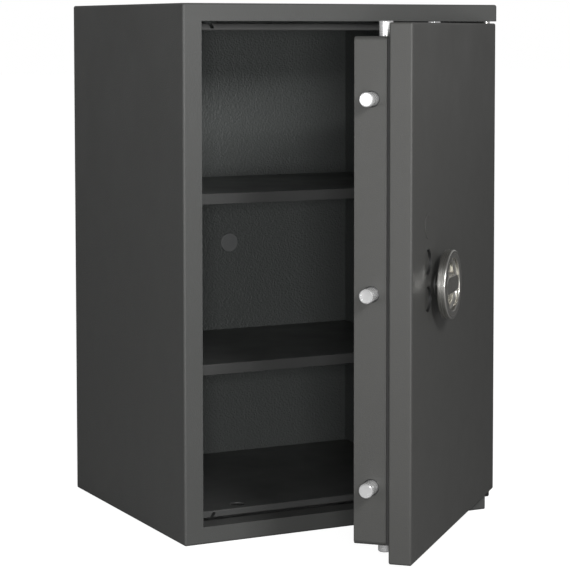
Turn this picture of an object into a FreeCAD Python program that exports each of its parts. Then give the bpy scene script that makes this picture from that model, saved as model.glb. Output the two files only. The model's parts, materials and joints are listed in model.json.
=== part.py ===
import FreeCAD, Part
import os

# Free-standing key-locked security cabinet with a wheel-driven bolt work, in millimetres.
#
# Everything is modelled with its door closed and its bolts thrown, in a working frame whose
# origin is the cabinet's lower front left corner: X to the right, Y to the back, Z up.
# save_door() swings a door piece open to the rest angle.  Both save functions then move the
# origin to the middle of the footprint.

# Cabinet
WIDTH = 538.0
DEPTH = 444.0
HEIGHT = 800.0
SHEET = 3.0             # outer steel sheet
LINER = 2.0             # liner sheet, lips and inner door tray
CABINET_ROUND = 3.5     # bend radius of the outer edges
SIDE_BAND = 30.0        # width of the front band on the left
END_BAND = 26.0         # height of the front bands at the top and bottom
BAND_DEPTH = 36.0       # depth of all three front bands
JAMB_FRONT = 38.0       # depth at which the hinge-side wall starts
JAMB_REACH = 52.0       # how far the hinge-side jamb covers the opening
POCKET_BACK = 88.0      # rear end of the hollow behind the bands, where the bolts land

# Inside of the cabinet
ROOM_LEFT = 44.0
ROOM_RIGHT = 494.0
ROOM_FLOOR = 40.0
ROOM_TOP = 760.0
ROOM_BACK = 422.0
LIP_GAP = 4.0           # shadow gap between a band and the lip behind it
SHELF_GAP = 2.0         # play between a shelf and each side wall
SHELF_FRONT = 90.0
SHELF_BACK = 420.0
SHELF_HEM = 16.0
SHELF_BASES = (497.0, 236.0)

# Anchor hole in the back wall
ANCHOR_X = WIDTH / 2
ANCHOR_Z = HEIGHT / 2
ANCHOR_BORE = 7.0
ANCHOR_OUTER = 10.0
ANCHOR_CAP = 16.0

# Door
DOOR_LEFT = 33.0
DOOR_BOTTOM = 29.0
DOOR_TOP = 771.0
PLATE = 33.0            # thickness of the outer door plate
DOOR_ROUND = 3.0
DOOR_REAR_ROUND = 2.5
BOX_LEFT = 41.0         # inner door tray that holds the bolt work
BOX_RIGHT = 482.0
BOX_BOTTOM = 52.0
BOX_TOP = 752.0
BOX_FRONT = 38.0
BOX_BACK = 83.0
BOX_ROUND = 6.0
BOX_FRONT_ROUND = 1.8
HINGE_X = 526.0
HINGE_Y = 12.0
PIN_RADIUS = 5.0
DOOR_REST = 45.0        # degrees that the door stands open

# Bolt work
BOLT_RADIUS = 10.0
BOLT_Y = 60.0
BOLT_THROW = 24.0
LATCH_HEIGHTS = (133.0, 400.0, 667.0)
LATCH_TIP = 14.0        # X of the thrown latch bolts' ends
END_BOLT_PLACES = (114.0, 382.0)
END_BOLT_MARGIN = 0.5   # a thrown end bolt stops this far short of its band
RUNNING_FIT = 0.06
WHEEL_X = 167.0
WHEEL_Z = 402.0
CRANK_OFFSET = BOLT_THROW / 2   # each crank pin sits this far across and up or down
CRANK_PIN = 4.0
SLOT_HALF = 4.8         # half width of the slots that the crank pins run in

# Lock and the round marks on the door
LOCK_X = 119.0
KEYHOLE_Z = 489.0
COVER_PIVOT_Z = 503.0
MARK_RADIUS = 18.5
CAP_HEIGHTS = (438.0, 386.0)
BARREL_RADIUS = 11.0
SPINDLE_RADIUS = 6.0
BUSH_RADIUS = 9.0

ALONG_X = FreeCAD.Vector(1, 0, 0)
ALONG_Y = FreeCAD.Vector(0, 1, 0)
ALONG_Z = FreeCAD.Vector(0, 0, 1)
BAND_TOP_Z = HEIGHT - END_BAND
RIGHT_SKIN = WIDTH - SHEET
BACK_SKIN = DEPTH - SHEET
TOP_SKIN = HEIGHT - SHEET
JAMB_LEFT = WIDTH - JAMB_REACH
JAMB_BACK = JAMB_FRONT + SHEET
BASE_CUT_X = 520.0      # the bottom band stops here, beside the lower hinge
STRIKE_LEFT = SIDE_BAND
STRIKE_RIGHT = SIDE_BAND + SHEET


# ---------------------------------------------------------------- shapes

def block(x, y, z):
    """A box from three (low, high) pairs."""
    corner = FreeCAD.Vector(x[0], y[0], z[0])
    return Part.makeBox(x[1] - x[0], y[1] - y[0], z[1] - z[0], corner)


def rod(x, y, z, radius):
    """A cylinder along the one coordinate that is given as a (start, end) pair."""
    for axis, span in ((ALONG_X, x), (ALONG_Y, y), (ALONG_Z, z)):
        if isinstance(span, tuple):
            start = [value[0] if isinstance(value, tuple) else value for value in (x, y, z)]
            return Part.makeCylinder(radius, span[1] - span[0], FreeCAD.Vector(*start), axis)


def fused(shapes):
    return shapes[0].fuse(shapes[1:]).removeSplitter()


def pierced(shape, cutters):
    return shape.cut(cutters)


def parallel_edges(shape, axis):
    """Straight edges that run along an axis."""
    found = []
    for edge in shape.Edges:
        run = edge.Vertexes[-1].Point - edge.Vertexes[0].Point
        if run.Length > 0 and abs(run.dot(axis)) > 0.999 * run.Length:
            found.append(edge)
    return found


def edges_at(shape, y):
    """Edges that lie wholly in the plane at depth y."""
    return [edge for edge in shape.Edges
            if abs(edge.BoundBox.YMin - y) < 0.01 and abs(edge.BoundBox.YMax - y) < 0.01]


def rounded_box(x, y, z, radius):
    """A box whose four edges along Y are rounded."""
    plain = block(x, y, z)
    return plain.makeFillet(radius, parallel_edges(plain, ALONG_Y))


def prism(points, y):
    """A plate between two depths whose outline is a list of (x, z) points."""
    corners = [FreeCAD.Vector(px, y[0], pz) for px, pz in points]
    face = Part.Face(Part.makePolygon(corners + corners[:1]))
    return face.extrude(ALONG_Y * (y[1] - y[0]))


# ---------------------------------------------------------------- saving

def save(name, shape):
    """Write one node with the origin at the middle of the footprint."""
    placed = shape.copy()
    placed.translate(FreeCAD.Vector(-WIDTH / 2, -DEPTH / 2, 0))
    placed.exportStep(os.path.join("parts", name + ".step"))


def save_door(name, shape):
    """Swing a closed-door piece open to the rest angle, then write it."""
    opened = shape.copy()
    opened.rotate(FreeCAD.Vector(HINGE_X, HINGE_Y, 0), ALONG_Z, DOOR_REST)
    save(name, opened)


# ---------------------------------------------------------------- cabinet shell

def envelope():
    """The cabinet's outline, with every edge rounded except those of the back."""
    hull = block((0, WIDTH), (0, DEPTH), (0, HEIGHT))
    rear = edges_at(hull, DEPTH)
    kept = [edge for edge in hull.Edges if not any(edge.isSame(other) for other in rear)]
    return hull.makeFillet(CABINET_ROUND, kept)


def make_side_panels():
    inner_band = SIDE_BAND - SHEET
    upright = (END_BAND, BAND_TOP_Z)
    left = fused([
        block((0, SHEET), (SHEET, BACK_SKIN), (SHEET, TOP_SKIN)),
        block((0, SIDE_BAND), (0, SHEET), upright),
        block((inner_band, SIDE_BAND), (SHEET, BAND_DEPTH), upright),
        block((SHEET, inner_band), (BAND_DEPTH - SHEET, BAND_DEPTH), upright),
    ])
    right = fused([
        block((RIGHT_SKIN, WIDTH), (JAMB_FRONT, BACK_SKIN), (SHEET, TOP_SKIN)),
        block((JAMB_LEFT, RIGHT_SKIN), (JAMB_FRONT, JAMB_BACK), upright),
    ])
    save("left_side_panel", left.common(envelope()))
    save("right_side_panel", right.common(envelope()))


def make_top_panel():
    inside = (SHEET, RIGHT_SKIN)
    panel = fused([
        block((0, WIDTH), (SHEET, BACK_SKIN), (TOP_SKIN, HEIGHT)),
        block((0, WIDTH), (0, SHEET), (BAND_TOP_Z, HEIGHT)),
        block(inside, (SHEET, BAND_DEPTH), (BAND_TOP_Z, BAND_TOP_Z + SHEET)),
        block(inside, (BAND_DEPTH - SHEET, BAND_DEPTH), (BAND_TOP_Z, TOP_SKIN)),
        block((RIGHT_SKIN, WIDTH), (SHEET, JAMB_FRONT), (BAND_TOP_Z, TOP_SKIN)),
    ])
    pin_hole = rod(HINGE_X, HINGE_Y, (BAND_TOP_Z, TOP_SKIN), PIN_RADIUS)
    save("top_panel", pierced(panel, [pin_hole]).common(envelope()))


def make_bottom_panel():
    folded = fused([
        block((0, WIDTH), (SHEET, BACK_SKIN), (0, SHEET)),
        block((0, BASE_CUT_X), (0, SHEET), (0, END_BAND)),
        block((SHEET, BASE_CUT_X), (SHEET, BAND_DEPTH), (END_BAND - SHEET, END_BAND)),
        block((SHEET, BASE_CUT_X), (BAND_DEPTH - SHEET, BAND_DEPTH), (SHEET, END_BAND)),
        block((BASE_CUT_X - SHEET, BASE_CUT_X), (SHEET, JAMB_BACK), (SHEET, END_BAND)),
    ])
    hinge_corner = block((BASE_CUT_X, WIDTH), (0, JAMB_FRONT), (0, END_BAND))
    closing = block((BASE_CUT_X, RIGHT_SKIN), (JAMB_FRONT, JAMB_BACK), (SHEET, END_BAND))
    panel = fused([pierced(folded, [hinge_corner]), closing])
    save("bottom_panel", panel.common(envelope()))


def anchor_hole():
    return rod(ANCHOR_X, (0, DEPTH), ANCHOR_Z, ANCHOR_OUTER)


def make_rear_panel():
    panel = block((0, WIDTH), (BACK_SKIN, DEPTH), (0, HEIGHT))
    save("rear_panel", pierced(panel, [anchor_hole()]).common(envelope()))


def make_fills():
    """Fire-retarding slabs between the outer sheets and the liner."""
    front = POCKET_BACK + LINER
    liner_back = ROOM_BACK + LINER
    across = (SHEET, RIGHT_SKIN)
    between = (ROOM_FLOOR - LINER, ROOM_TOP + LINER)
    save("left_fill", block((SHEET, ROOM_LEFT - LINER), (front, liner_back), between))
    save("right_fill", block((ROOM_RIGHT + LINER, RIGHT_SKIN), (JAMB_BACK, liner_back), between))
    save("top_fill", block(across, (front, liner_back), (ROOM_TOP + LINER, TOP_SKIN)))
    save("bottom_fill", block(across, (front, liner_back), (SHEET, ROOM_FLOOR - LINER)))
    rear = block(across, (liner_back, BACK_SKIN), (SHEET, TOP_SKIN))
    save("rear_fill", pierced(rear, [anchor_hole()]))


# ---------------------------------------------------------------- cabinet inside

def make_liner():
    low = ROOM_FLOOR - LINER
    high = ROOM_TOP + LINER
    deep = (POCKET_BACK, ROOM_BACK)
    flange = (POCKET_BACK, POCKET_BACK + LINER)
    across = (SHEET, RIGHT_SKIN)
    left = fused([
        block((ROOM_LEFT - LINER, ROOM_LEFT), deep, (low, high)),
        block((SHEET, ROOM_LEFT), flange, (low, high)),
    ])
    top = fused([
        block((ROOM_LEFT, ROOM_RIGHT), deep, (ROOM_TOP, high)),
        block(across, flange, (high, TOP_SKIN)),
    ])
    floor = fused([
        block((ROOM_LEFT, ROOM_RIGHT), deep, (low, ROOM_FLOOR)),
        block(across, flange, (SHEET, low)),
    ])
    rear = block((ROOM_LEFT - LINER, ROOM_RIGHT + LINER), (ROOM_BACK, ROOM_BACK + LINER), (low, high))
    save("inner_left_wall", left)
    save("inner_right_wall",
         block((ROOM_RIGHT, ROOM_RIGHT + LINER), (JAMB_BACK, ROOM_BACK), (low, high)))
    save("inner_top_wall", top)
    save("inner_floor", floor)
    save("inner_rear_wall", pierced(rear, [anchor_hole()]))


BOLT_HOLE = 11.5        # holes that the bolts are thrown into
LIP_BEND = 1.9          # outer radius where a lip turns back
LIP_EDGE = 0.9          # rounding of its free edge
NOTCH_WIDTH = 6.0       # slanted notches in the lips' front legs
NOTCH_SLANT = 4.0
NOTCH_INSET = 24.0
NOTCH_REST = 0.28       # share of the front leg that a notch leaves standing


def front_edges(shape, z):
    """Long edges of a lip's front face at height z."""
    return [edge for edge in parallel_edges(shape, ALONG_X)
            if abs(edge.BoundBox.YMax - BAND_DEPTH) < 0.01 and abs(edge.BoundBox.ZMin - z) < 0.01]


def lip(edge_z, room_z, sheet_z):
    """The L-shaped lip behind the top or bottom band, with its bolt holes and notches."""
    upright = (min(edge_z, room_z), max(edge_z, room_z))
    front = (BAND_DEPTH, BAND_DEPTH + LINER)
    shape = fused([
        block((STRIKE_RIGHT, JAMB_LEFT), front, upright),
        block((STRIKE_RIGHT, JAMB_LEFT), (BAND_DEPTH, POCKET_BACK), sheet_z),
        block((STRIKE_RIGHT, ROOM_RIGHT), (JAMB_BACK, POCKET_BACK), sheet_z),
    ])
    shape = shape.makeFillet(LIP_BEND, front_edges(shape, room_z))
    shape = shape.makeFillet(LIP_EDGE, front_edges(shape, edge_z))
    reach = room_z + NOTCH_REST * (edge_z - room_z)
    left = STRIKE_RIGHT + NOTCH_INSET
    outline = [(left, edge_z), (left + NOTCH_WIDTH, edge_z),
               (left + NOTCH_WIDTH + NOTCH_SLANT, reach), (left + NOTCH_SLANT, reach)]
    middle = STRIKE_RIGHT + JAMB_LEFT
    mirrored = [(middle - px, pz) for px, pz in outline]
    notches = [prism(outline, front), prism(mirrored, front)]
    holes = [rod(px, BOLT_Y, sheet_z, BOLT_HOLE) for px in END_BOLT_PLACES]
    return pierced(shape, notches + holes)


def make_strikes():
    left = fused([
        block((STRIKE_LEFT, STRIKE_RIGHT), (BAND_DEPTH, POCKET_BACK), (END_BAND, BAND_TOP_Z)),
        block((STRIKE_LEFT - SHEET, STRIKE_LEFT), (BAND_DEPTH, BAND_DEPTH + LINER),
              (END_BAND, BAND_TOP_Z)),
    ])
    holes = [rod((STRIKE_LEFT, STRIKE_RIGHT), BOLT_Y, pz, BOLT_HOLE) for pz in LATCH_HEIGHTS]
    save("left_strike", pierced(left, holes))
    top_edge = BAND_TOP_Z - LIP_GAP
    bottom_edge = END_BAND + LIP_GAP
    save("top_strike", lip(top_edge, ROOM_TOP, (ROOM_TOP, ROOM_TOP + LINER)))
    save("bottom_strike", lip(bottom_edge, ROOM_FLOOR, (ROOM_FLOOR - LINER, ROOM_FLOOR)))


HEM_RETURN = 12.0       # inward fold at the foot of a shelf's front hem
CLIP_WIDTH = 20.0
CLIP_REACH = 14.0
CLIP_DROP = 12.0
CLIP_DEPTHS = (130.0, 350.0)


def shelf(base):
    """A folded shelf: flat top, hems all round, and an inward fold at the front hem's foot."""
    x = (ROOM_LEFT + SHELF_GAP, ROOM_RIGHT - SHELF_GAP)
    y = (SHELF_FRONT, SHELF_BACK)
    outer = block(x, y, (base, base + SHELF_HEM))
    outer = outer.makeFillet(1.5, [edge for edge in edges_at(outer, SHELF_FRONT)
                                   if edge.BoundBox.ZMin > base + 1])
    hollow = block((x[0] + LINER, x[1] - LINER), (y[0] + LINER, y[1] - LINER),
                   (base, base + SHELF_HEM - LINER))
    fold = block((x[0] + LINER, x[1] - LINER), (y[0] + LINER, y[0] + HEM_RETURN),
                 (base, base + LINER))
    return fused([pierced(outer, [hollow]), fold])


def clip(wall_x, inward, y, top):
    """An angle clip on a side wall; inward is +1 on the left wall and -1 on the right."""
    leg = sorted((wall_x, wall_x + inward * LINER))
    ledge = sorted((wall_x, wall_x + inward * CLIP_REACH))
    depth = (y, y + CLIP_WIDTH)
    return fused([
        block(tuple(leg), depth, (top - CLIP_DROP, top)),
        block(tuple(ledge), depth, (top - LINER, top)),
    ])


def make_shelves():
    for name, base in zip(("upper_shelf", "lower_shelf"), SHELF_BASES):
        save(name, shelf(base))
    clips = [clip(wall_x, inward, y, base)
             for base in SHELF_BASES
             for y in CLIP_DEPTHS
             for wall_x, inward in ((ROOM_LEFT, 1), (ROOM_RIGHT, -1))]
    save("shelf_clips", Part.makeCompound(clips))


def make_anchor():
    """A steel sleeve through the back wall, and the plastic cap that covers it inside."""
    front = ROOM_BACK - LINER
    sleeve = pierced(rod(ANCHOR_X, (front, DEPTH), ANCHOR_Z, ANCHOR_OUTER),
                     [rod(ANCHOR_X, (front, DEPTH), ANCHOR_Z, ANCHOR_BORE)])
    disc = rod(ANCHOR_X, (front - LINER, ROOM_BACK), ANCHOR_Z, ANCHOR_CAP)
    disc = disc.makeFillet(1.5, edges_at(disc, front - LINER))
    cap = pierced(disc, [rod(ANCHOR_X, (front, ROOM_BACK), ANCHOR_Z, ANCHOR_OUTER)])
    save("anchor_sleeve", sleeve)
    save("anchor_cap", cap)


# ---------------------------------------------------------------- hinges

LUG_BASE = 19.0
LUG_ROUND = 7.0
PIN_REACH = 26.0        # how far each hinge pin enters the door
BUSH_LENGTH = 32.0
HINGE_BUSH = 8.0


def make_hinges():
    upper = rod(HINGE_X, HINGE_Y, (DOOR_TOP - PIN_REACH, TOP_SKIN), PIN_RADIUS)
    lower = rod(HINGE_X, HINGE_Y, (LUG_BASE, DOOR_BOTTOM + PIN_REACH), PIN_RADIUS)
    arm = fused([
        rod(HINGE_X, HINGE_Y, (LUG_BASE, END_BAND), LUG_ROUND),
        block((BASE_CUT_X, RIGHT_SKIN), (HINGE_Y, JAMB_FRONT), (LUG_BASE, END_BAND)),
    ])
    room = block((BASE_CUT_X, WIDTH), (0, JAMB_FRONT), (LUG_BASE, END_BAND))
    lug = pierced(arm.common(room), [rod(HINGE_X, HINGE_Y, (LUG_BASE, END_BAND), PIN_RADIUS)])
    gap = (END_BAND, DOOR_BOTTOM - RUNNING_FIT)
    washer = pierced(rod(HINGE_X, HINGE_Y, gap, HINGE_BUSH),
                     [rod(HINGE_X, HINGE_Y, gap, PIN_RADIUS)])
    save("upper_hinge_pin", upper)
    save("lower_hinge_pin", lower)
    save("hinge_lug", lug)
    save("thrust_washer", washer)


def hinge_bush_solids():
    """The two bushes in the door, each with the outer radius that its seat has."""
    spans = ((DOOR_BOTTOM, DOOR_BOTTOM + BUSH_LENGTH), (DOOR_TOP - BUSH_LENGTH, DOOR_TOP))
    return [rod(HINGE_X, HINGE_Y, span, HINGE_BUSH) for span in spans]


# ---------------------------------------------------------------- door plate

DOOR_FACE = (DOOR_LEFT, WIDTH)
NECK_X = (47.0, 476.0)
NECK_Z = (58.0, 746.0)
SEAL = 4.5              # width of the seal strip round the neck
BARREL_BACK = 40.0      # depth at which the lock barrel and the spindle bush end
CAP_SINK = 3.6          # how far the blanking caps sit below the door face
CAP_BACK = 6.0          # depth at which their holes end


def through_holes():
    """Seats of the lock barrel and the spindle bush, through the whole door plate."""
    return [rod(LOCK_X, (0, BARREL_BACK), KEYHOLE_Z, BARREL_RADIUS),
            rod(WHEEL_X, (0, BARREL_BACK), WHEEL_Z, BUSH_RADIUS)]


def make_door_plate():
    shell = block(DOOR_FACE, (0, PLATE), (DOOR_BOTTOM, DOOR_TOP))
    shell = shell.makeFillet(DOOR_ROUND, parallel_edges(shell, ALONG_Y) + edges_at(shell, 0))
    shell = shell.makeFillet(DOOR_REAR_ROUND, edges_at(shell, PLATE))
    inner_x = (DOOR_LEFT + SHEET, RIGHT_SKIN)
    inner_z = (DOOR_BOTTOM + SHEET, DOOR_TOP - SHEET)
    hollow = block(inner_x, (SHEET, PLATE), inner_z)
    cap_holes = [rod(LOCK_X, (0, CAP_BACK), pz, MARK_RADIUS) for pz in CAP_HEIGHTS]
    pivot_hole = rod(LOCK_X, (0, SHEET), COVER_PIVOT_Z, COVER_PIN)
    openings = [hollow, pivot_hole] + cap_holes + hinge_bush_solids() + through_holes()
    save_door("door_skin", pierced(shell, openings))
    slab = block(inner_x, (SHEET, PLATE - SHEET), inner_z)
    save_door("door_fill", pierced(slab, cap_holes + hinge_bush_solids() + through_holes()))
    back = block(inner_x, (PLATE - SHEET, PLATE), inner_z)
    save_door("door_back_plate", pierced(back, through_holes()))
    neck = block(NECK_X, (PLATE, BOX_FRONT), NECK_Z)
    save_door("door_neck", pierced(neck, through_holes()))
    ring = block((NECK_X[0] - SEAL, NECK_X[1] + SEAL), (PLATE, BOX_FRONT),
                 (NECK_Z[0] - SEAL, NECK_Z[1] + SEAL))
    save_door("fire_seal", pierced(ring, [neck]))


def make_bushes():
    bores = [rod(HINGE_X, HINGE_Y, (DOOR_BOTTOM, DOOR_TOP), PIN_RADIUS + RUNNING_FIT)]
    hinge = [pierced(bush, bores) for bush in hinge_bush_solids()]
    save_door("hinge_bushes", Part.makeCompound(hinge))
    bush = rod(WHEEL_X, (0, BARREL_BACK), WHEEL_Z, BUSH_RADIUS)
    bore = rod(WHEEL_X, (0, BARREL_BACK), WHEEL_Z, SPINDLE_RADIUS + RUNNING_FIT)
    save_door("spindle_bush", pierced(bush, [bore]))


# ---------------------------------------------------------------- inner door tray

GUIDE_LENGTH = 8.0
GUIDE_RADIUS = 14.0
WALL_CLEARANCE = 1.5    # play of a bolt in the tray wall outside its guide
DOG_RADIUS = 8.0
DOG_REACH = 10.0
DOG_NECK = 6.0
SCREW_INSET = 10.0


def latch_rods(x, radius):
    return [rod(x, BOLT_Y, pz, radius) for pz in LATCH_HEIGHTS]


def end_rods(z, radius):
    return [rod(px, BOLT_Y, z, radius) for px in END_BOLT_PLACES]


def make_bolt_box():
    outer = rounded_box((BOX_LEFT, BOX_RIGHT), (BOX_FRONT, BOX_BACK), (BOX_BOTTOM, BOX_TOP),
                        BOX_ROUND)
    outer = outer.makeFillet(BOX_FRONT_ROUND, edges_at(outer, BOX_FRONT))
    hollow = rounded_box((BOX_LEFT + LINER, BOX_RIGHT - LINER), (BOX_FRONT + LINER, BOX_BACK),
                         (BOX_BOTTOM + LINER, BOX_TOP - LINER), BOX_ROUND - LINER)
    loose = BOLT_RADIUS + WALL_CLEARANCE
    holes = latch_rods((BOX_LEFT, BOX_LEFT + LINER), loose)
    holes += end_rods((BOX_TOP - LINER, BOX_TOP), loose)
    holes += end_rods((BOX_BOTTOM, BOX_BOTTOM + LINER), loose)
    holes += latch_rods((BOX_RIGHT - LINER, BOX_RIGHT), DOG_NECK)
    save_door("bolt_box", pierced(outer, [hollow] + holes + through_holes()))


def make_guides():
    """Bushes behind the tray walls, one for each of the seven bolts."""
    spans = [(latch_rods, BOX_LEFT + LINER), (end_rods, BOX_TOP - LINER - GUIDE_LENGTH),
             (end_rods, BOX_BOTTOM + LINER)]
    guides = []
    for rods, start in spans:
        span = (start, start + GUIDE_LENGTH)
        bores = rods(span, BOLT_RADIUS + RUNNING_FIT)
        guides += [pierced(body, [bore]) for body, bore in zip(rods(span, GUIDE_RADIUS), bores)]
    save_door("bolt_guides", Part.makeCompound(guides))


def make_dog_bolts():
    """Fixed pegs on the hinge side, each with a neck through the wall and an inner collar."""
    pegs = latch_rods((BOX_RIGHT, BOX_RIGHT + DOG_REACH), DOG_RADIUS)
    necks = latch_rods((BOX_RIGHT - LINER, BOX_RIGHT), DOG_NECK)
    collars = latch_rods((BOX_RIGHT - LINER - 4, BOX_RIGHT - LINER), DOG_RADIUS)
    solids = []
    for peg, neck, collar in zip(pegs, necks, collars):
        tip = [edge for edge in peg.Edges if edge.BoundBox.XMin > BOX_RIGHT + DOG_REACH - 0.01]
        solids.append(fused([peg.makeChamfer(1, tip), neck, collar]))
    save_door("dog_bolts", Part.makeCompound(solids))


SCREW_SHANK = 2.0
SCREW_HEAD = 4.0
SCREW_HEAD_HEIGHT = 1.5
SCREW_LENGTH = 7.0


def cover_screw_places():
    """Eight places round the cover: its corners and the middles of its sides."""
    columns = (BOX_LEFT + SCREW_INSET, (BOX_LEFT + BOX_RIGHT) / 2, BOX_RIGHT - SCREW_INSET)
    rows = (BOX_BOTTOM + SCREW_INSET, (BOX_BOTTOM + BOX_TOP) / 2, BOX_TOP - SCREW_INSET)
    return [(px, pz) for px in columns for pz in rows if (px, pz) != (columns[1], rows[1])]


def make_inner_cover():
    back = BOX_BACK + LINER
    plate = rounded_box((BOX_LEFT, BOX_RIGHT), (BOX_BACK, back), (BOX_BOTTOM, BOX_TOP), BOX_ROUND)
    plate = plate.makeFillet(1, edges_at(plate, back))
    holes = []
    screws = []
    for px, pz in cover_screw_places():
        holes.append(rod(px, (BOX_BACK, back), pz, SCREW_SHANK))
        head = rod(px, (back, back + SCREW_HEAD_HEIGHT), pz, SCREW_HEAD)
        head = head.makeFillet(0.8, edges_at(head, back + SCREW_HEAD_HEIGHT))
        shank = rod(px, (back - SCREW_LENGTH, back), pz, SCREW_SHANK)
        screws.append(fused([head, shank]))
    save_door("inner_cover", pierced(plate, holes))
    save_door("cover_screws", Part.makeCompound(screws))


# ---------------------------------------------------------------- marks on the door face

CAP_RADIUS = 17.3
CAP_ROUND = 0.8
RING_SINK = 0.4         # how far the rings round the caps sit below the door face
COVER_PIN = 2.0
COVER_THICKNESS = 0.6
COVER_GAP = 0.1
COVER_EDGE = 0.3
PIN_HEAD = 2.6
PIN_HEAD_EDGE = 0.3
PIN_HEAD_HEIGHT = 0.4
KEY_ROUND = 3.5
KEY_SLOT = 1.6
KEY_DROP = 8.5


def make_door_marks():
    caps = []
    rings = []
    for pz in CAP_HEIGHTS:
        cap = rod(LOCK_X, (CAP_SINK, CAP_BACK), pz, CAP_RADIUS)
        caps.append(cap.makeFillet(CAP_ROUND, edges_at(cap, CAP_SINK)))
        seat = (RING_SINK, CAP_BACK)
        rings.append(pierced(rod(LOCK_X, seat, pz, MARK_RADIUS), [rod(LOCK_X, seat, pz, CAP_RADIUS)]))
    save_door("blanking_caps", Part.makeCompound(caps))
    save_door("cap_rings", Part.makeCompound(rings))
    barrel = rod(LOCK_X, (0, BARREL_BACK), KEYHOLE_Z, BARREL_RADIUS)
    key_way = fused([
        rod(LOCK_X, (0, BARREL_BACK), KEYHOLE_Z, KEY_ROUND),
        block((LOCK_X - KEY_SLOT, LOCK_X + KEY_SLOT), (0, BARREL_BACK),
              (KEYHOLE_Z - KEY_DROP, KEYHOLE_Z)),
    ])
    save_door("keyhole_escutcheon", pierced(barrel, [key_way]))
    cover_front = -COVER_GAP - COVER_THICKNESS
    cover = rod(LOCK_X, (cover_front, -COVER_GAP), KEYHOLE_Z, MARK_RADIUS)
    cover = cover.makeFillet(COVER_EDGE, edges_at(cover, cover_front))
    bore = rod(LOCK_X, (cover_front, -COVER_GAP), COVER_PIVOT_Z, COVER_PIN + RUNNING_FIT)
    save_door("keyhole_cover", pierced(cover, [bore]))
    seat = cover_front - COVER_GAP
    head = rod(LOCK_X, (seat - PIN_HEAD_HEIGHT, seat), COVER_PIVOT_Z, PIN_HEAD)
    head = head.makeFillet(PIN_HEAD_EDGE, edges_at(head, seat - PIN_HEAD_HEIGHT))
    shank = rod(LOCK_X, (seat, SHEET), COVER_PIVOT_Z, COVER_PIN)
    save_door("cover_pin", fused([head, shank]))


# ---------------------------------------------------------------- handle wheel and crank

RIM_RADIUS = 49.0
RIM_FRONT = -25.0
RIM_BACK = -12.0
DISH_RADIUS = 37.0
DISH_ROUND = 5.0
DISH_FLOOR = -17.0
POCKET_FLOOR = -14.0
GRIP_HALF_LENGTH = 34.0
GRIP_HALF_HEIGHT = 12.5
GRIP_FRONT = -24.0
GRIP_EDGE = 1.5
HUB_RADIUS = 11.0
HUB_GAP = 0.3           # play between the wheel's hub and the rosette
ROSETTE_RADIUS = 17.0
ROSETTE_FRONT = -2.0
ROSETTE_EDGE = 0.8
RIM_EDGE = 2.0
DISH_LIP = 1.2          # rounding of the dish's front edge
CRANK_RADIUS = 24.0
CRANK_FRONT = 42.0
CRANK_BACK = 47.0


def wheel_disc(y, radius):
    return rod(WHEEL_X, y, WHEEL_Z, radius)


def oval(half_length, half_height, y):
    """An upright-sided oval bar across the wheel: a stadium with full-height round ends."""
    reach = half_length - half_height
    return fused([
        block((WHEEL_X - reach, WHEEL_X + reach), y,
              (WHEEL_Z - half_height, WHEEL_Z + half_height)),
        rod(WHEEL_X - reach, y, WHEEL_Z, half_height),
        rod(WHEEL_X + reach, y, WHEEL_Z, half_height),
    ])


def make_wheel():
    """A dished wheel with an oval grip across its dish and a pocket above and below it."""
    rim = wheel_disc((RIM_FRONT, RIM_BACK), RIM_RADIUS)
    rim = rim.makeFillet(RIM_EDGE, edges_at(rim, RIM_FRONT) + edges_at(rim, RIM_BACK))
    dish = wheel_disc((RIM_FRONT, DISH_FLOOR), DISH_RADIUS)
    pockets = pierced(wheel_disc((RIM_FRONT, POCKET_FLOOR), DISH_RADIUS - 4),
                      [oval(DISH_RADIUS, GRIP_HALF_HEIGHT + 2.5, (RIM_FRONT, POCKET_FLOOR))])
    grip = oval(GRIP_HALF_LENGTH, GRIP_HALF_HEIGHT, (GRIP_FRONT, DISH_FLOOR))
    grip = grip.makeFillet(GRIP_EDGE, edges_at(grip, GRIP_FRONT))
    hub = wheel_disc((RIM_BACK, ROSETTE_FRONT - HUB_GAP), HUB_RADIUS)
    bore = wheel_disc((DISH_FLOOR, 0), SPINDLE_RADIUS)
    dish = dish.makeFillet(DISH_ROUND, edges_at(dish, DISH_FLOOR))
    dished = pierced(rim, [dish, pockets])
    dished = dished.makeFillet(DISH_LIP, [edge for edge in edges_at(dished, RIM_FRONT)
                                          if edge.BoundBox.XLength < 2 * DISH_RADIUS + 1])
    wheel = pierced(fused([dished, grip, hub]), [bore])
    save_door("handle_wheel", wheel)
    collar = pierced(wheel_disc((ROSETTE_FRONT, 0), ROSETTE_RADIUS),
                     [wheel_disc((ROSETTE_FRONT, 0), SPINDLE_RADIUS + 1)])
    collar = collar.makeFillet(ROSETTE_EDGE, [edge for edge in edges_at(collar, ROSETTE_FRONT)
                                              if edge.BoundBox.XLength > ROSETTE_RADIUS])
    save_door("handle_rosette", collar)


def crank_pin_places():
    """Crank pins at rest: the latch pin, the top pin and the bottom pin."""
    low = WHEEL_Z - CRANK_OFFSET
    high = WHEEL_Z + CRANK_OFFSET
    return ((WHEEL_X - CRANK_OFFSET, low), (WHEEL_X - CRANK_OFFSET, high),
            (WHEEL_X + CRANK_OFFSET, low))


LATCH_PIN_BACK = 58.0
END_PIN_BACK = 53.0


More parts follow.
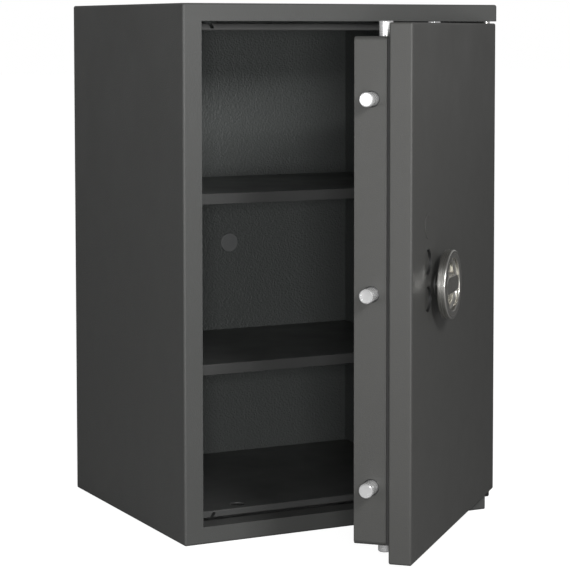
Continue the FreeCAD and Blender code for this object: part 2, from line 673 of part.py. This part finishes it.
def make_crank():
    save_door("handle_spindle", wheel_disc((DISH_FLOOR, CRANK_BACK), SPINDLE_RADIUS))
    backs = (LATCH_PIN_BACK, END_PIN_BACK, END_PIN_BACK)
    pins = [rod(px, (CRANK_FRONT, back), pz, CRANK_PIN)
            for (px, pz), back in zip(crank_pin_places(), backs)]
    disc = wheel_disc((CRANK_FRONT, CRANK_BACK), CRANK_RADIUS)
    shaft = wheel_disc((CRANK_FRONT, CRANK_BACK), SPINDLE_RADIUS)
    save_door("crank_disc", pierced(disc, [shaft] + pins))
    save_door("crank_pins", Part.makeCompound(pins))


# ---------------------------------------------------------------- bolt bars

BAR_LEFT = 64.0
BAR_WIDTH = 6.0
BAR_Y = (54.0, 72.0)
BAR_Z = (115.0, 685.0)
ARM_THICKNESS = 3.0
ROD_Y = (49.0, 52.0)
END_BAR_X = (98.0, 398.0)
END_BAR_HEIGHT = 8.0
TOP_BAR_BASE = 705.0
BOTTOM_BAR_BASE = 87.0
SPIGOT = 5.0
LUG_Z = (528.0, 540.0)
LUG_Y = 42.0
SHANK = (20.0, 34.0)    # distance of an end rod's shank from the wheel's axis
PLATE_INNER = 3.0       # nearest edge of its slot plate to that axis
PLATE_Z = (2.0, 22.0)   # how far above the axis the top slot plate lies at rest
SLOT_SPAN = (7.0, 22.0)
BOLT_CHAMFER = 1.2
GROOVES = (5.0, 7.4)    # distance of the latch bolts' two grooves from their tips
GROOVE_WIDTH = 0.9
GROOVE_DEPTH = 0.5


def make_latch_work():
    bar_right = BAR_LEFT + BAR_WIDTH
    slot_x = WHEEL_X - CRANK_OFFSET
    arm_top = WHEEL_Z - PLATE_INNER
    arm_bottom = WHEEL_Z - SLOT_SPAN[1] - 4
    bar = fused([
        block((BAR_LEFT, bar_right), BAR_Y, BAR_Z),
        block((bar_right, slot_x + SLOT_HALF + 3.2), (BAR_Y[0], BAR_Y[0] + ARM_THICKNESS),
              (arm_bottom, arm_top)),
        block((BAR_LEFT, bar_right + 2), (LUG_Y, BAR_Y[0]), LUG_Z),
        block((BAR_LEFT, bar_right), (LUG_Y, BAR_Y[1]), LUG_Z),
    ])
    slot = block((slot_x - SLOT_HALF, slot_x + SLOT_HALF), BAR_Y,
                 (WHEEL_Z - SLOT_SPAN[1], WHEEL_Z - SLOT_SPAN[0]))
    spigots = latch_rods((BAR_LEFT, bar_right), SPIGOT)
    save_door("latch_bar", pierced(bar, [slot] + spigots))
    grooves = []
    for start in GROOVES:
        span = (LATCH_TIP + start, LATCH_TIP + start + GROOVE_WIDTH)
        cores = latch_rods(span, BOLT_RADIUS - GROOVE_DEPTH)
        grooves += [pierced(ring, [core])
                    for ring, core in zip(latch_rods(span, BOLT_RADIUS + 1), cores)]
    bolts = []
    for body, spigot in zip(latch_rods((LATCH_TIP, BAR_LEFT), BOLT_RADIUS), spigots):
        tip = [edge for edge in body.Edges if edge.BoundBox.XMax < LATCH_TIP + 0.01]
        turned = pierced(body.makeChamfer(BOLT_CHAMFER, tip), grooves)
        bolts.append(fused([turned, spigot]))
    save_door("latch_bolts", Part.makeCompound(bolts))


def end_bar(base, rod_side, rod_z, plate_z):
    """A bar across the door with the rod that joins it to its crank pin.

    rod_side is -1 on the latch side of the wheel and +1 on its hinge side.
    """
    def across(near, far):
        return tuple(sorted((WHEEL_X + rod_side * near, WHEEL_X + rod_side * far)))

    slot_z = sum(plate_z) / 2
    bar = fused([
        block(END_BAR_X, (ROD_Y[0], BAR_Y[1]), (base, base + END_BAR_HEIGHT)),
        block(across(*SHANK), ROD_Y, rod_z),
        block(across(PLATE_INNER, SHANK[1]), ROD_Y, plate_z),
    ])
    slot = block(across(*SLOT_SPAN), ROD_Y, (slot_z - SLOT_HALF, slot_z + SLOT_HALF))
    spigots = end_rods((base, base + END_BAR_HEIGHT), SPIGOT)
    return pierced(bar, [slot] + spigots)


def end_bolts(body_z, spigot_z, tip_z):
    bolts = []
    for body, spigot in zip(end_rods(body_z, BOLT_RADIUS), end_rods(spigot_z, SPIGOT)):
        tip = [edge for edge in body.Edges
               if max(abs(edge.BoundBox.ZMin - tip_z), abs(edge.BoundBox.ZMax - tip_z)) < 0.01]
        bolts.append(fused([body.makeChamfer(BOLT_CHAMFER, tip), spigot]))
    return Part.makeCompound(bolts)


def make_end_works():
    """The top and bottom bolt works are mirror images about the wheel's axis."""
    top_plate = (WHEEL_Z + PLATE_Z[0], WHEEL_Z + PLATE_Z[1])
    bottom_plate = (WHEEL_Z - PLATE_Z[1], WHEEL_Z - PLATE_Z[0])
    top_back = TOP_BAR_BASE + END_BAR_HEIGHT
    bottom_top = BOTTOM_BAR_BASE + END_BAR_HEIGHT
    top_tip = BAND_TOP_Z - END_BOLT_MARGIN
    bottom_tip = END_BAND + END_BOLT_MARGIN
    save_door("top_bar", end_bar(TOP_BAR_BASE, -1, (top_plate[0], TOP_BAR_BASE), top_plate))
    save_door("bottom_bar", end_bar(BOTTOM_BAR_BASE, 1, (bottom_top, bottom_plate[1]),
                                    bottom_plate))
    save_door("top_bolts", end_bolts((top_back, top_tip), (TOP_BAR_BASE, top_back), top_tip))
    save_door("bottom_bolts", end_bolts((bottom_tip, BOTTOM_BAR_BASE),
                                        (BOTTOM_BAR_BASE, bottom_top), bottom_tip))


# ---------------------------------------------------------------- lock

CASE_X = (71.0, 131.0)
CASE_Y = (40.0, 51.5)
CASE_Z = (455.0, 525.0)
CASE_COVER_BACK = 53.0
LOCK_BOLT_X = (74.0, 84.0)
LOCK_BOLT_Y = (44.0, 50.0)
LOCK_BOLT_Z = (480.0, 524.5)
BOSS_RADIUS = 3.5
BOSS_PLACES = ((76.0, 460.0), (126.0, 460.0), (126.0, 520.0), (90.0, 520.0))
LEVER_X = (90.0, 126.0)
LEVER_Z = (496.0, 513.0)
LEVER_PIVOT = (120.0, 505.0)
LEVER_THICKNESS = 1.2
LEVER_PITCH = 1.6
LEVER_COUNT = 5
POST_RADIUS = 2.4
CASE_SCREW_SHANK = 1.5
CASE_SCREW_HEAD = 2.5


def make_lock():
    walls = block(CASE_X, CASE_Y, CASE_Z)
    floor_back = CASE_Y[0] + LINER
    hollow = block((CASE_X[0] + LINER, CASE_X[1] - LINER), (floor_back, CASE_Y[1]),
                   (CASE_Z[0] + LINER, CASE_Z[1] - LINER))
    posts = [rod(px, (floor_back, CASE_Y[1]), pz, BOSS_RADIUS) for px, pz in BOSS_PLACES]
    posts.append(rod(LEVER_PIVOT[0], (floor_back, CASE_Y[1]), LEVER_PIVOT[1], POST_RADIUS))
    shanks = [rod(px, (floor_back, CASE_Y[1]), pz, CASE_SCREW_SHANK) for px, pz in BOSS_PLACES]
    mouth = block((LOCK_BOLT_X[0] - RUNNING_FIT, LOCK_BOLT_X[1] + RUNNING_FIT),
                  (LOCK_BOLT_Y[0] - RUNNING_FIT, LOCK_BOLT_Y[1] + RUNNING_FIT),
                  (CASE_Z[1] - LINER, CASE_Z[1]))
    key_hole = rod(LOCK_X, (CASE_Y[0], floor_back), KEYHOLE_Z, KEY_DROP)
    body = fused([pierced(walls, [hollow])] + posts)
    save_door("lock_case", pierced(body, shanks + [mouth, key_hole]))
    heads = [rod(px, (CASE_Y[1], CASE_COVER_BACK), pz, CASE_SCREW_HEAD)
             for px, pz in BOSS_PLACES]
    cover = block(CASE_X, (CASE_Y[1], CASE_COVER_BACK), CASE_Z)
    save_door("lock_cover", pierced(cover, heads))
    screws = [fused([head, shank]) for head, shank in zip(heads, shanks)]
    save_door("lock_screws", Part.makeCompound(screws))
    levers = []
    for index in range(LEVER_COUNT):
        front = floor_back + 1 + index * LEVER_PITCH
        span = (front, front + LEVER_THICKNESS)
        hole = rod(LEVER_PIVOT[0], span, LEVER_PIVOT[1], POST_RADIUS + RUNNING_FIT)
        levers.append(pierced(block(LEVER_X, span, LEVER_Z), [hole]))
    save_door("lock_levers", Part.makeCompound(levers))
    save_door("lock_bolt", block(LOCK_BOLT_X, LOCK_BOLT_Y, LOCK_BOLT_Z))


def main():
    os.makedirs("parts", exist_ok=True)
    make_side_panels()
    make_top_panel()
    make_bottom_panel()
    make_rear_panel()
    make_fills()
    make_liner()
    make_strikes()
    make_shelves()
    make_anchor()
    make_hinges()
    make_door_plate()
    make_bushes()
    make_bolt_box()
    make_guides()
    make_dog_bolts()
    make_inner_cover()
    make_door_marks()
    make_wheel()
    make_crank()
    make_latch_work()
    make_end_works()
    make_lock()


main()
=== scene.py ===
import json
import math

import bpy
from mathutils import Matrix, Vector

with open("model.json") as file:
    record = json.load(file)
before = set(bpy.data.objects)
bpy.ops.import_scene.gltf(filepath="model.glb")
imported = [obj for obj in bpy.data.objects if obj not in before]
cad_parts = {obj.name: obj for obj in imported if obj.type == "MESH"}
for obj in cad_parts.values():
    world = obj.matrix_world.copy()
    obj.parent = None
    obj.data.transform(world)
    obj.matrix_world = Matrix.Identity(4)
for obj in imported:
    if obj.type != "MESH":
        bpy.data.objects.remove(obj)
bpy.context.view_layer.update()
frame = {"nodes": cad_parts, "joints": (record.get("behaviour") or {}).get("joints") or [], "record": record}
nodes = frame["nodes"]
joints = {joint["name"]: joint for joint in frame["joints"]}


# ------------------------------------------------------------ places taken from the frame

DOOR_NORMAL = Vector(joints["handle_turn"]["axis"]).normalized()   # into the door, from its face
WHEEL_CENTRE = Vector(joints["handle_turn"]["pos_m"])
DOOR_TURN = math.atan2(-DOOR_NORMAL.x, DOOR_NORMAL.y)              # angle the door stands open


# ------------------------------------------------------------ material helpers

ORIGIN = (0, 0, 0)
LINE_DEPTH = 0.00002             # height of tool lines, in metres
RING_DEPTH = 0.000015


class Surface:
    """A node-based material whose textures are laid out in metres in the object's own frame."""

    def __init__(self, name, color, roughness, metallic=0.0):
        self.material = bpy.data.materials.new(name)
        self.material.use_nodes = True
        self.nodes = self.material.node_tree.nodes
        self.links = self.material.node_tree.links
        self.shader = self.nodes["Principled BSDF"]
        self.shader.inputs["Base Color"].default_value = (*color, 1)
        self.shader.inputs["Roughness"].default_value = roughness
        self.shader.inputs["Metallic"].default_value = metallic
        self.color = color
        self.roughness = roughness
        self.coordinates = self.nodes.new("ShaderNodeTexCoord").outputs["Object"]
        self.bumped = None

    def link(self, source, target):
        self.links.new(source, target)

    def times(self, value, factor):
        node = self.nodes.new("ShaderNodeMath")
        node.operation = "MULTIPLY"
        self.link(value, node.inputs[0])
        node.inputs[1].default_value = factor
        return node.outputs[0]

    def noise(self, scale, detail=2.0, roughness=0.5, coordinates=None):
        """Soft noise with about scale features to the metre."""
        node = self.nodes.new("ShaderNodeTexNoise")
        node.inputs["Scale"].default_value = scale
        node.inputs["Detail"].default_value = detail
        node.inputs["Roughness"].default_value = roughness
        self.link(coordinates or self.coordinates, node.inputs["Vector"])
        return node.outputs["Fac"]

    def cells(self, scale):
        """Distance to the nearest of the scattered points, scale of them to the metre."""
        node = self.nodes.new("ShaderNodeTexVoronoi")
        node.feature = "SMOOTH_F1"
        node.inputs["Scale"].default_value = scale
        self.link(self.coordinates, node.inputs["Vector"])
        return node.outputs["Distance"]

    def remap(self, value, low, high, out_low, out_high):
        node = self.nodes.new("ShaderNodeMapRange")
        for name, number in zip(("From Min", "From Max", "To Min", "To Max"),
                                (low, high, out_low, out_high)):
            node.inputs[name].default_value = number
        self.link(value, node.inputs["Value"])
        return node.outputs["Result"]

    def shade(self, value, dark, light):
        """Colour runs from dark to light times the base colour as value runs from 0 to 1."""
        node = self.nodes.new("ShaderNodeMix")
        node.data_type = "RGBA"
        node.inputs["A"].default_value = (*[c * dark for c in self.color], 1)
        node.inputs["B"].default_value = (*[min(1, c * light) for c in self.color], 1)
        self.link(value, node.inputs["Factor"])
        self.link(node.outputs["Result"], self.shader.inputs["Base Color"])

    def vary_roughness(self, value, spread):
        """Roughness wanders by spread to either side of the base as value wanders about a half."""
        result = self.remap(value, 0.3, 0.7, self.roughness - spread, self.roughness + spread)
        self.link(result, self.shader.inputs["Roughness"])

    def bump(self, height, depth):
        """Raise the surface by up to depth metres, on top of any bump that it has already."""
        node = self.nodes.new("ShaderNodeBump")
        node.inputs["Strength"].default_value = 1
        node.inputs["Distance"].default_value = depth
        self.link(height, node.inputs["Height"])
        if self.bumped is not None:
            self.link(self.bumped, node.inputs["Normal"])
        self.bumped = node.outputs["Normal"]
        self.link(self.bumped, self.shader.inputs["Normal"])

    def door_frame(self, centre):
        """Coordinates about a centre, with the door's opening angle taken out."""
        shift = self.nodes.new("ShaderNodeVectorMath")
        shift.operation = "SUBTRACT"
        self.link(self.coordinates, shift.inputs[0])
        shift.inputs[1].default_value = centre
        turn = self.nodes.new("ShaderNodeVectorRotate")
        turn.rotation_type = "Z_AXIS"
        turn.inputs["Angle"].default_value = -DOOR_TURN
        self.link(shift.outputs[0], turn.inputs["Vector"])
        return turn.outputs["Vector"]

    def stretched(self, coordinates, scale):
        node = self.nodes.new("ShaderNodeMapping")
        node.inputs["Scale"].default_value = scale
        self.link(coordinates, node.inputs["Vector"])
        return node.outputs["Vector"]


def powder_coat(name, color, roughness, grain, depth):
    """Satin powder coat: rounded grains, grain to the metre and depth high, faintly mottled."""
    coat = Surface(name, color, roughness)
    grains = coat.cells(grain)
    fine = coat.noise(grain * 1.7, detail=2)
    broad = coat.noise(9, detail=3)
    mottle = coat.remap(fine, 0, 1, 0.5, 1.2)
    coat.shade(mottle, 0.72, 1.28)
    coat.vary_roughness(broad, 0.05)
    coat.bump(fine, depth * 0.6)
    coat.bump(grains, depth)
    coat.shader.inputs["Specular IOR Level"].default_value = 0.45
    return coat.material


def smooth_paint(name, color, roughness):
    """Satin paint with a faint orange peel."""
    coat = Surface(name, color, roughness)
    peel = coat.noise(260, detail=1)
    broad = coat.noise(12, detail=4)
    coat.shade(broad, 0.88, 1.12)
    coat.vary_roughness(broad, 0.06)
    coat.bump(peel, 0.00008)
    return coat.material


def turned_metal(name, color, roughness, lines, metallic=1.0):
    """Metal with fine tool lines; lines is the texture's stretch in the door's frame."""
    metal = Surface(name, color, roughness, metallic)
    local = metal.door_frame(ORIGIN)
    rings = metal.noise(1, detail=3, coordinates=metal.stretched(local, lines))
    smudge = metal.noise(60, detail=3)
    metal.shade(smudge, 0.9, 1.08)
    metal.vary_roughness(rings, 0.07)
    metal.bump(rings, LINE_DEPTH)
    return metal.material


def face_turned_metal(name, color, roughness, centre, rings_per_metre):
    """Metal turned on a lathe: rings about an axis that points into the door."""
    metal = Surface(name, color, roughness, metallic=1.0)
    local = metal.door_frame(centre)
    flat = metal.stretched(local, (1, 0, 1))
    length = metal.nodes.new("ShaderNodeVectorMath")
    length.operation = "LENGTH"
    metal.link(flat, length.inputs[0])
    axial = metal.nodes.new("ShaderNodeSeparateXYZ")
    metal.link(local, axial.inputs[0])
    ring_place = metal.nodes.new("ShaderNodeCombineXYZ")
    metal.link(metal.times(length.outputs["Value"], rings_per_metre), ring_place.inputs[0])
    metal.link(metal.times(axial.outputs["Y"], rings_per_metre), ring_place.inputs[1])
    rings = metal.noise(1, detail=3, coordinates=ring_place.outputs[0])
    smudge = metal.noise(45, detail=4)
    metal.shade(smudge, 0.9, 1.08)
    metal.vary_roughness(rings, 0.06)
    metal.bump(rings, RING_DEPTH)
    return metal.material


def moulded(name, color, roughness):
    """Plastic or rubber with the fine grain of its mould."""
    plastic = Surface(name, color, roughness)
    fine = plastic.noise(1400, detail=2)
    broad = plastic.noise(80, detail=3)
    plastic.shade(broad, 0.9, 1.1)
    plastic.vary_roughness(broad, 0.05)
    plastic.bump(fine, 0.00005)
    return plastic.material


def cast_filler(name, color):
    """Gritty mineral filler."""
    filler = Surface(name, color, roughness=0.9)
    grit = filler.noise(300, detail=5, roughness=0.7)
    filler.shade(grit, 0.7, 1.15)
    filler.bump(grit, 0.0004)
    return filler.material


# ------------------------------------------------------------ materials

CABINET_GREY = (0.058, 0.059, 0.057)
LINER_GREY = (0.068, 0.073, 0.071)
SHELF_GREY = (0.064, 0.065, 0.064)
DOOR_GREY = (0.048, 0.048, 0.0455)
DARK_STEEL = (0.016, 0.016, 0.016)
ZINC = (0.84, 0.84, 0.84)
ZINC_GLOSS = 0.68                # zinc plate is part mirror and part milky
NICKEL = (0.62, 0.61, 0.58)
STEEL = (0.45, 0.45, 0.46)
BRASS = (0.62, 0.45, 0.18)
FILLER = (0.5, 0.47, 0.42)
RUBBER = (0.035, 0.035, 0.035)
# Black nylon for the bolt guides, made this dark so that the guide seen through the gap round each bolt
# gives painted shade in that gap.
BLACK_NYLON_AND_GAP_SHADE = (0.012, 0.012, 0.012)
CAP_GREY = (0.15, 0.155, 0.155)

# A metal's tool lines are close together along one axis of the door and long along the others.
ACROSS_DOOR = (4000, 60, 60)
INTO_DOOR = (60, 3000, 60)
UPRIGHT = (60, 60, 4000)
UPRIGHT_COARSE = (60, 60, 2500)

surfaces = {
    "cabinet_paint": powder_coat("cabinet_paint", CABINET_GREY, 0.52, grain=620, depth=0.00022),
    "liner_paint": powder_coat("liner_paint", LINER_GREY, 0.5, grain=340, depth=0.0009),
    "shelf_paint": smooth_paint("shelf_paint", SHELF_GREY, 0.36),
    "fire_filler": cast_filler("fire_filler", FILLER),
    "door_paint": powder_coat("door_paint", DOOR_GREY, 0.5, grain=900, depth=0.00012),
    "dark_steel": smooth_paint("dark_steel", DARK_STEEL, 0.5),
    "seal_rubber": moulded("seal_rubber", RUBBER, 0.8),
    "bright_zinc": turned_metal("bright_zinc", ZINC, 0.22, ACROSS_DOOR, ZINC_GLOSS),
    "upright_zinc": turned_metal("upright_zinc", ZINC, 0.22, UPRIGHT, ZINC_GLOSS),
    "satin_nickel": face_turned_metal("satin_nickel", NICKEL, 0.27, WHEEL_CENTRE,
                                      rings_per_metre=3500),
    "turned_steel": turned_metal("turned_steel", STEEL, 0.32, INTO_DOOR),
    "bush_brass": turned_metal("bush_brass", BRASS, 0.3, UPRIGHT_COARSE),
    "guide_nylon": moulded("guide_nylon", BLACK_NYLON_AND_GAP_SHADE, 0.5),
    "cap_grey": moulded("cap_grey", CAP_GREY, 0.5),
}

# Nodes in the bright_zinc slot whose axis is upright, so that their tool lines are too.
UPRIGHT_ZINC_NODES = ("top_bolts", "bottom_bolts", "upper_hinge_pin", "lower_hinge_pin", "lock_bolt")

for entry in frame["record"]["subparts"]:
    slot = entry["material_slot"]
    if entry["node"] in UPRIGHT_ZINC_NODES:
        slot = "upright_zinc"
    mesh = nodes[entry["node"]].data
    mesh.materials.clear()
    mesh.materials.append(surfaces[slot])


# ------------------------------------------------------------ floor and light

FLOOR_HALF = 30.0
FLOOR_GREY = (0.3, 0.3, 0.3)
FLOOR_ROUGHNESS = 0.9
SEEN_WHITE = 1.0                 # what the camera sees of the backdrop
FLOOR_GLOW = 0.94                # lifts the pale floor to the same white for the camera
SIDE_LIGHT = 0.46                # what the backdrop sends onto the object from the sides
TOP_LIGHT = 0.12                 # and from above
FADE_HEIGHT = 0.8                # rise of a direction at which it counts as above


def strength_by_ray(nodes, links, seen, cast):
    """A number that the camera's own rays read as one value and all others as another."""
    path = nodes.new("ShaderNodeLightPath")
    choice = nodes.new("ShaderNodeMapRange")
    choice.inputs["To Min"].default_value = cast
    choice.inputs["To Max"].default_value = seen
    links.new(path.outputs["Is Camera Ray"], choice.inputs["Value"])
    return choice.outputs["Result"]


def add_floor():
    half = FLOOR_HALF
    mesh = bpy.data.meshes.new("floor")
    corners = [(-half, -half, 0), (half, -half, 0), (half, half, 0), (-half, half, 0)]
    mesh.from_pydata(corners, [], [(0, 1, 2, 3)])
    floor = bpy.data.objects.new("floor", mesh)
    bpy.context.scene.collection.objects.link(floor)
    paint = Surface("pale_floor", FLOOR_GREY, FLOOR_ROUGHNESS)
    paint.shade(paint.noise(3, detail=2), 0.99, 1.01)
    paint.shader.inputs["Emission Color"].default_value = (1, 1, 1, 1)
    glow = strength_by_ray(paint.nodes, paint.links, FLOOR_GLOW, 0.0)
    paint.link(glow, paint.shader.inputs["Emission Strength"])
    mesh.materials.append(paint.material)


def add_area_light(name, place, target, size, power):
    data = bpy.data.lights.new(name, "AREA")
    data.shape = "RECTANGLE"
    data.size, data.size_y = size
    data.energy = power
    light = bpy.data.objects.new(name, data)
    light.location = place
    light.rotation_mode = "QUATERNION"
    light.rotation_quaternion = (Vector(target) - Vector(place)).to_track_quat("-Z", "Y")
    bpy.context.scene.collection.objects.link(light)


def set_world():
    """A backdrop that looks white and lights the object more from the sides than from above."""
    world = bpy.data.worlds.new("studio")
    world.use_nodes = True
    nodes, links = world.node_tree.nodes, world.node_tree.links
    background = nodes["Background"]
    background.inputs["Color"].default_value = (1, 1, 1, 1)
    strength = strength_by_ray(nodes, links, SEEN_WHITE, SIDE_LIGHT)
    links.new(strength, background.inputs["Strength"])
    height = nodes.new("ShaderNodeSeparateXYZ")
    links.new(nodes.new("ShaderNodeTexCoord").outputs["Generated"], height.inputs[0])
    fade = nodes.new("ShaderNodeMapRange")
    fade.inputs["From Max"].default_value = FADE_HEIGHT
    fade.inputs["To Min"].default_value = SIDE_LIGHT
    fade.inputs["To Max"].default_value = TOP_LIGHT
    links.new(height.outputs["Z"], fade.inputs["Value"])
    links.new(fade.outputs["Result"], strength.node.inputs["To Min"])
    bpy.context.scene.world = world


add_floor()
set_world()
add_area_light("front", place=(-0.1, -2.2, 1.35), target=(0, -0.2, 0.6), size=(0.45, 0.45), power=27)
add_area_light("beside_camera", place=(-1.2, -2.6, 0.6), target=(0, -0.2, 0.45), size=(0.5, 0.5),
               power=31)
add_area_light("left_side", place=(-2.2, -1.2, 0.8), target=(-0.1, -0.3, 0.45), size=(0.7, 0.9),
               power=8)
bpy.context.scene.view_settings.view_transform = "Standard"


# ------------------------------------------------------------ camera

SENSOR = 36.0
LENS = 129.764
SHIFT = (-0.0593, -0.21053)      # in frame widths
CAMERA_PLACE = (-1.4692, -2.9629, 0.7603)
CAMERA_YAW = math.radians(-27.432)
CAMERA_PITCH = math.radians(3.753)     # how far it looks down


def add_camera():
    data = bpy.data.cameras.new("camera")
    data.sensor_width = SENSOR
    data.lens = LENS
    data.shift_x, data.shift_y = SHIFT
    camera = bpy.data.objects.new("camera", data)
    camera.location = CAMERA_PLACE
    camera.rotation_euler = (math.pi / 2 - CAMERA_PITCH, 0, CAMERA_YAW)
    bpy.context.scene.collection.objects.link(camera)
    bpy.context.scene.camera = camera


add_camera()
